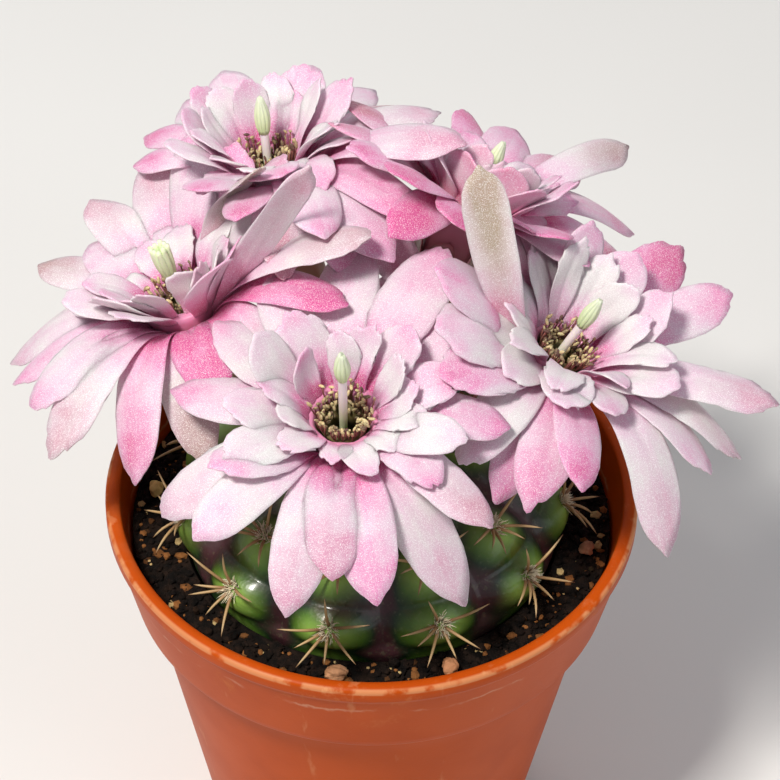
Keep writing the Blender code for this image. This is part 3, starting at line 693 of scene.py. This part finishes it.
def petalFinish():
    look = Finish("petals", IOR=1.4, Subsurface_Weight=0.45, Subsurface_Radius=(1.0, 0.78, 0.88),
                  Subsurface_Scale=0.001, Sheen_Weight=0.12, Sheen_Roughness=0.4)
    along, edge, face = look.parts("map")
    pinkness, olive, chance = look.parts("tone")
    place = look.place()
    middle = 1 - edge * edge
    vein = look.noise(1, 2, look.node("CombineXYZ", None, {0: edge * 7, 1: along * 1.6, 2: chance * 40}))
    cloud = look.noise(330, 3, place)
    blotch = (cloud - 0.5) * 0.75 + (vein - 0.5) * 0.28
    stripe = (middle ** 2) * look.ramp(along, 0.95, 0.35)
    foot = look.ramp(along, 0.68, 0.14)
    tipTone = look.ramp(along, 0.62, 0.95) * (middle * 0.7 + 0.3)
    strength = (pinkness * 0.78 + stripe * 0.08 + foot * 0.74 + tipTone * 0.36 + 0.05 + blotch).clamped()
    stops = ((0.0, petal["white"]), (0.35, petal["pale"]), (0.72, petal["pink"]), (1.0, petal["deep"]))
    colour = look.node("ValToRGB", dict(stops=stops), {0: strength})
    under = look.ramp(face, 0.5, -0.5)
    tipBrown = look.ramp(along, 0.5, 0.95) * (middle * 0.75 + 0.2)
    backBrown = under * (middle ** 2) * look.ramp(along, 0.2, 0.6) * 0.7
    browned = (olive * (tipBrown + backBrown) * (cloud + 0.35)).clamped()
    colour = look.mix(browned * 0.85, colour, petal["olive"])
    colour = look.mix(under * 0.2, colour, petal["cream"])
    # painted glints: fine white specks are painted highlights and darker specks between them are painted shade, mixed
    # into the petal colour
    fine = look.noise(9800, 1, place)
    glint = look.ramp(fine, 0.50, 0.70)
    colour = look.mix(look.ramp(fine, 0.48, 0.25) * 0.22, colour, petal["glintShade"])
    colour = look.mix(glint * 0.7, colour, petal["glintWhite"])
    height = vein * 0.5 + fine * 0.9 + cloud * 0.5
    return look.shade(Base_Color=colour, Roughness=0.5 - glint * 0.26, Normal=look.bump(height, 0.5, petal["grain"]))


def tubeCourse(bloom, place):
    seat = seatPoint(bloom)
    normal = globeNormal(seat)
    axis = place.to_3x3().col[2]
    return (seat - normal * tube["depth"], seat + normal * tube["stems"][0],
            place.translation - axis * tube["stems"][1], place.translation)


def alongCourse(course, share):
    a, b, c, d = course
    rest = 1 - share
    spot = a * rest ** 3 + b * (3 * rest ** 2 * share) + c * (3 * rest * share ** 2) + d * share ** 3
    heading = (b - a) * rest ** 2 + (c - b) * (2 * rest * share) + (d - c) * share ** 2
    return spot, heading.normalized()


def acrossCourse(heading, compass):
    right = (Vector((1, 0, 0)) - heading * heading.x).normalized()
    angle = math.radians(compass)
    return right * math.cos(angle) + heading.cross(right) * math.sin(angle)


def girthAt(share):
    for (low, small), (high, large) in zip(tube["girth"], tube["girth"][1:]):
        if share <= high:
            return (small + (large - small) * smoothStep((share - low) / (high - low))) * mm
    return tube["girth"][-1][1] * mm


def tubeShapes(bloom, place, draw):
    course = tubeCourse(bloom, place)
    axis = place.to_3x3().col[2]
    rings = []
    for step in range(tube["steps"] + 1):
        share = step / tube["steps"]
        rings.append((*alongCourse(course, share), girthAt(share), share))
    for step in range(1, 5):
        angle = math.pi * step / 4
        rings.append((place.translation + axis * 0.25 * mm * math.sin(angle), axis,
                      4.2 * mm + 0.7 * mm * math.cos(angle), 1))
    for step in range(1, 7):
        depth = tube["pitDepth"] * step / 6
        rings.append((place.translation - axis * depth, axis, tube["pit"] - tube["slope"] * depth, 1 + step / 6))
    verts, maps, sides = [], [], tube["sides"]
    for spot, heading, radius, share in rings:
        for side in range(sides):
            flute = 1 + 0.025 * math.sin(8 * math.tau * side / sides + 5 * share)
            verts.append(spot + acrossCourse(heading, 360 * side / sides) * radius * flute)
            maps.append((share, 0, 0))
    shapes = [(verts, tubeFaces(len(rings), sides), {"map": maps, "tone": [(0, 0, 0)] * len(verts)})]
    for share, compass in tube["scales"]:
        spot, heading = alongCourse(course, share)
        outward = acrossCourse(heading, compass + draw.uniform(-6, 6))
        root = spot + outward * (girthAt(share) - 0.25 * mm)
        long = (5.4 if share > 0.5 else 3.6) * mm
        bend = root + heading * long * 0.5 + outward * 0.9 * mm
        tip = root + heading * long + outward * 1.2 * mm
        shapes.append(bladeShape(root, bend, tip, heading.cross(outward), tube["scaleWidth"], draw, 0.1,
                                 (1, share, draw.random()), (-0.35, -0.35), rows=8, columns=8))
    return shapes


def tubeFinish():
    look = Finish("flowerTube", IOR=1.45, Coat_Weight=0.15, Coat_Roughness=0.3, Subsurface_Weight=0.08,
                  Subsurface_Scale=0.001)
    along, edge, _ = look.parts("map")
    scaly, share, _ = look.parts("tone")
    place = look.place()
    cloud = look.noise(300, 3, place)
    wall = look.node("ValToRGB", dict(stops=tube["tones"]), {0: along.clamped()})
    wall = look.mix(look.ramp(along, 1.0, 1.3), wall, tube["green"])
    margin = look.ramp((edge * edge).atLeast(along * along), 0.55, 0.95)
    scale = look.mix(margin, tube["green"], tube["margin"])
    scale = look.mix(look.ramp(share, 0.3, 0.6) * 0.5, scale, tube["rosy"])
    colour = look.mix(cloud * 0.18, look.mix(scaly, wall, scale), tube["speck"])
    relief = look.bump(look.noise(1500, 3, place), 0.3, tube["grain"])
    return look.shade(Base_Color=colour, Roughness=0.42 + cloud * 0.15, Normal=relief)


# Stamens and style

heart = dict(stamens=130, filament=0.10 * mm, anther=0.33 * mm, pollen=(0.70, 0.58, 0.30), spent=(0.10, 0.045, 0.035),
             filamentFoot=(0.10, 0.09, 0.02), filamentTop=(0.26, 0.09, 0.08), dust=0.08 * mm,
             ringLow=-3.5 * mm, ringHigh=-0.7 * mm, ringGap=0.36 * mm, ringThick=0.75 * mm, ringSides=32)
style = dict(radius=0.5 * mm, steps=11, stigma=4.8 * mm, lobes=9, lobeSteps=9, stemFoot=(0.62, 0.66, 0.40),
             stemTop=(0.86, 0.76, 0.76), lobeFoot=(0.60, 0.76, 0.36), lobeTip=(0.80, 0.88, 0.60), fuzz=0.1 * mm)


def stamenShapes(place, draw):
    low, high, thick, sides = heart["ringLow"], heart["ringHigh"], heart["ringThick"], heart["ringSides"]
    fit, slope = tube["pit"] - heart["ringGap"], tube["slope"]
    ring = ((fit + slope * low, low), (fit + slope * high, high),
            (fit + slope * high - thick, high), (fit + slope * low - thick, low))
    verts = []
    for radius, height in ring:
        for side in range(sides):
            angle = math.tau * side / sides
            verts.append(place @ Vector((radius * math.cos(angle), radius * math.sin(angle), height)))
    faces = []
    for row in range(4):
        for side in range(sides):
            after = (side + 1) % sides
            base, top = row * sides, (row + 1) % 4 * sides
            faces.append((base + side, base + after, top + after, top + side))
    shapes = [(verts, faces, {"map": [(0.1, 0.2, 0)] * len(verts)})]
    for index in range(heart["stamens"]):
        angle = math.tau * (index + draw.uniform(-0.4, 0.4)) / heart["stamens"]
        outward = level(angle)
        tier = draw.random()
        root = outward * draw.uniform(1.9, 2.5) * mm + Vector((0, 0, -1.7 * mm))
        end = outward * (1.5 + 2.2 * tier + draw.uniform(-0.3, 0.25)) * mm
        end.z = (-0.9 + 2.9 * tier + draw.uniform(-0.4, 0.5)) * mm
        bulge = outward * 0.25 * mm
        points = [place @ (root.lerp(end, step / 5) + bulge * math.sin(math.pi * step / 5)) for step in range(6)]
        shapes.append(tubeShape(points, [heart["filament"]] * 6, 5, draw.random()))
        shapes.append(antherShape(place, end, draw))
    return shapes


def antherShape(place, spot, draw):
    lump = bmesh.new()
    bmesh.ops.create_icosphere(lump, subdivisions=2, radius=heart["anther"])
    turn = Matrix.Rotation(draw.uniform(0, 6.28), 3, "Z") @ Matrix.Rotation(draw.uniform(-1.5, 1.5), 3, "X")
    stretch = Vector((0.6, 0.66, 1.45)) * draw.uniform(0.7, 1.15)
    verts = []
    for corner in lump.verts:
        groove = 1 - 0.3 * math.exp(-(corner.co.x / (0.12 * mm)) ** 2) * (1 if corner.co.y > 0 else 0)
        local = Vector(tuple(a * b for a, b in zip(corner.co, stretch))) * groove
        verts.append(place @ (spot + turn @ local + Vector((0, 0, 0.15 * mm))))
    faces = [tuple(corner.index for corner in face.verts) for face in lump.faces]
    lump.free()
    return verts, faces, {"map": [(2, draw.random() ** 1.3, 0)] * len(verts)}


def stamenFinish():
    look = Finish("stamens", Roughness=0.7, Subsurface_Weight=0.1, Subsurface_Scale=0.0006)
    along, chance, _ = look.parts("map")
    place = look.place()
    stem = look.mix(along.clamped(), heart["filamentFoot"], heart["filamentTop"])
    dust = look.noise(6000, 2, place)
    pollen = look.mix((chance * 1.1 + (dust - 0.5) * 0.9).clamped(), heart["pollen"], heart["spent"])
    isAnther = look.ramp(along, 1.2, 1.6)
    return look.shade(Base_Color=look.mix(isAnther, stem, pollen), Normal=look.bump(dust, 0.5, heart["dust"]))


def styleShapes(bloom, place, draw):
    top, last, lastLobe = bloom["style"] * mm, style["steps"], style["lobeSteps"]
    foot, neck = 0.3 * mm - tube["pitDepth"], top - style["stigma"] + 0.9 * mm
    bow = Vector((draw.uniform(-0.2, 0.2), draw.uniform(-0.2, 0.2), 0)) * mm
    points = [place @ (Vector((0, 0, foot + (neck - foot) * step / last)) + bow * math.sin(math.pi * step / last) ** 2)
              for step in range(last + 1)]
    shapes = [tubeShape(points, [style["radius"] * (0.9 + 0.2 * step / last) for step in range(last + 1)], 18)]
    for lobe in range(style["lobes"]):
        angle = math.tau * (lobe + draw.uniform(-0.15, 0.15)) / style["lobes"]
        outward = level(angle)
        reach, flare = draw.uniform(0.94, 1.0), bloom["open"] * draw.uniform(0.7, 1.3)
        points, radii = [], []
        for step in range(lastLobe + 1):
            share = step / lastLobe
            away = (0.28 + 0.40 * math.sin(math.pi * min(share * 0.85 + 0.08, 1))) * (1 - 0.6 * share ** 3)
            away += flare * 1.1 * share ** 2.5
            points.append(place @ (outward * away * mm + Vector((0, 0, top - style["stigma"] * (1 - share * reach)))))
            bulge = math.sin(math.pi * (0.2 + 0.68 * step / lastLobe)) ** 0.6
            radii.append((0.36 + 0.12 * bloom["open"]) * mm * bulge)
        shapes.append(tubeShape(points, radii, 8, 1))  # 1 marks a lobe
    return shapes


def styleFinish():
    look = Finish("style", Roughness=0.45, Subsurface_Weight=0.3, Subsurface_Radius=(0.8, 1, 0.5),
                  Subsurface_Scale=0.0008)
    along, lobed, _ = look.parts("map")
    place = look.place()
    stem = look.mix(look.ramp(along, 0.2, 0.8), style["stemFoot"], style["stemTop"])
    lobe = look.mix(along, style["lobeFoot"], style["lobeTip"])
    fuzz = look.noise(5200, 3, place)
    return look.shade(Base_Color=look.mix(lobed, stem, lobe), Normal=look.bump(fuzz, 0.6, style["fuzz"]))


def buildFlowers():
    petalLook, tubeLook, stamenLook, styleLook = petalFinish(), tubeFinish(), stamenFinish(), styleFinish()
    for number, (name, bloom) in enumerate(blooms.items()):
        draw = random.Random(40 + number)
        place = bloomFrame(bloom)
        shapes = []
        for whorl in ("outer", "middle", "inner"):
            for spec in whorlPetals(bloom, whorl, draw):
                shapes.append(petalShape(place, whorl, spec, draw, bloom["blush"]))
        makePiece("petals_" + name, joinShapes(shapes), petalLook, ["flower_" + name])
        makePiece("tube_" + name, joinShapes(tubeShapes(bloom, place, draw)), tubeLook)
        makePiece("stamens_" + name, joinShapes(stamenShapes(place, draw)), stamenLook,
                  ["flower_" + name + "_stamens"])
        makePiece("style_" + name, joinShapes(styleShapes(bloom, place, draw)), styleLook,
                  ["flower_" + name + "_style"])


draw = random.Random(8)
makePiece("spines", joinShapes(spineShapes(draw)), spineFinish())
makePiece("areoleWool", joinShapes(woolShapes(draw)), woolFinish())
print("areoles and spines placed")
buildFlowers()
print("flowers open")


# Soil, crumbs and grit

# the black and brown soil tones are the soil's own dark colour, darkened further toward near black as painted shade
ground = dict(top=52.5 * mm, crumbs=2600, gap=0.3 * mm, edgeGap=0.4 * mm, steps=240,
              lumps=((1.7 * mm, 0.55 * mm), (0.6 * mm, 0.25 * mm)), sink=0.1 * mm, grain=0.3 * mm,
              shadedBlack=(0.004, 0.003, 0.0025), shadedBrown=(0.020, 0.011, 0.007), rust=(0.30, 0.12, 0.035),
              sand=(0.50, 0.36, 0.16))
stones = {  # place, radius and colour
    "grit_stone_1": ((-4.0, -26.0), 1.3, (0.42, 0.20, 0.09)),
    "grit_stone_2": ((9.5, -24.8), 1.2, (0.36, 0.15, 0.06)),
    "grit_stone_3": ((-26.7, 3.4), 1.2, (0.52, 0.36, 0.12)),
    "grit_stone_4": ((26.3, -5.5), 1.1, (0.30, 0.14, 0.07)),
}


def insideRadius(height):
    foot = pot["height"] - pot["collar"]
    share = (height - foot) / pot["collar"]
    return pot["collarFoot"] - pot["wall"] + share * (pot["rim"] - pot["lip"] - pot["collarFoot"] + pot["wall"])


def soilShape():
    foot, top = pot["height"] - pot["collar"], ground["top"]
    wallTop = pot["collarFoot"] - pot["step"] - pot["wall"]
    bottom = pot["floor"] + ground["gap"]
    profile = [(0, 39.4 * mm)]
    for latitude in (-80, -70, -60, -50, -40, -32, -25, -18, -12):  # hollow for the body's foot
        angle = math.radians(latitude)
        profile.append(((body["radius"] + 0.4 * mm) * math.cos(angle),
                        body["waist"] + (body["depth"] + 0.4 * mm) * math.sin(angle)))
    edge = insideRadius(top) - ground["edgeGap"]
    start = body["radius"] + ground["gap"]
    for step in range(17):
        profile.append((start + (edge - start) * step / 16, top))
    profile += [(edge, top - 0.6 * mm), (insideRadius(foot) - 0.45 * mm, foot + 0.9 * mm), (wallTop - 0.45 * mm, foot),
                (pot["base"] - pot["wall"] - ground["gap"], bottom), (0, bottom)]
    verts, faces, data = turnedShape(profile, ground["steps"])
    shaken = []
    for vert in verts:
        radius = math.hypot(vert.x, vert.y)
        if abs(vert.z - top) < 0.01 * mm and start + 0.2 * mm < radius < edge - 0.1 * mm:
            heave = sum(depth * noise.noise(vert / size) for size, depth in ground["lumps"]) - ground["sink"]
            vert = vert + Vector((0, 0, heave))
        shaken.append(vert)
    return shaken, faces, data


def lumpShape(centre, radius, draw, finer=1, tone=(0, 0, 0)):
    lump = bmesh.new()
    bmesh.ops.create_icosphere(lump, subdivisions=finer, radius=1)
    squash = Vector((draw.uniform(0.7, 1.2), draw.uniform(0.7, 1.2), draw.uniform(0.5, 1.0)))
    offset = Vector((draw.uniform(0, 50), draw.uniform(0, 50), draw.uniform(0, 50)))
    verts = []
    for corner in lump.verts:
        rough = 1 + 0.35 * noise.noise(corner.co * 1.3 + offset)
        if finer > 1:
            rough += 0.12 * noise.noise(corner.co * 4 + offset)
        verts.append(centre + Vector(tuple(a * b for a, b in zip(corner.co * rough, squash))) * radius)
    faces = [tuple(corner.index for corner in face.verts) for face in lump.faces]
    lump.free()
    return verts, faces, {"map": [tone] * len(verts)}


def crumbShapes(draw):
    shapes = []
    inner, outer = body["radius"] + 0.7 * mm, insideRadius(ground["top"]) - 0.9 * mm
    for _ in range(ground["crumbs"]):
        angle = draw.uniform(0, math.tau)
        radius = math.sqrt(draw.uniform(inner ** 2, outer ** 2))
        size = (0.22 + 0.62 * draw.random() ** 3) * mm
        radius = min(radius, outer + 0.6 * mm - size)
        height = ground["top"] + size * draw.uniform(-0.3, 0.35)
        spot = Vector((radius * math.cos(angle), radius * math.sin(angle), height))
        shapes.append(lumpShape(spot, size, draw, 1, (draw.random(), draw.random(), 0)))
    return shapes


def soilFinish():
    look = Finish("soil", Roughness=0.95, Specular_IOR_Level=0.15)
    place = look.place()
    chance, other, _ = look.parts("map")
    cloud = look.noise(700, 5, place)
    # painted shade: the soil mixes between near-black tones that are partly its own colour and partly painted shade
    colour = look.mix(look.ramp(cloud, 0.35, 0.75), ground["shadedBlack"], ground["shadedBrown"])
    colour = look.mix(look.ramp(chance, 0.88, 0.94) * 0.8, colour, ground["rust"])
    colour = look.mix(look.ramp(other, 0.965, 0.975), colour, ground["sand"])
    return look.shade(Base_Color=colour, Normal=look.bump(look.noise(1800, 5, place), 0.8, ground["grain"]))


def stoneFinish(name, colour, light):
    look = Finish(name, Roughness=0.8)
    place = look.place()
    cloud = look.noise(650, 5, place)
    relief = look.bump(cloud + look.noise(2600, 4, place) * 0.4, 0.7, ground["grain"])
    return look.shade(Base_Color=look.mix(look.ramp(cloud, 0.35, 0.7), colour, light), Normal=relief)


soilLook = soilFinish()
makePiece("soilBed", soilShape(), soilLook, ["soil"])
draw = random.Random(5)
makePiece("soilCrumbs", joinShapes(crumbShapes(draw)), soilLook, smooth=False)
for name, (spot, size, tone) in stones.items():
    look = stoneFinish(name + "_stone", tone, tuple(min(1, value * 1.7 + 0.04) for value in tone))
    centre = Vector((spot[0] * mm, spot[1] * mm, ground["top"] + (size * 0.85 + 0.1) * mm))
    makePiece(name + "_fine", lumpShape(centre, size * mm, draw, 4), look, [name])
print("soil spread")
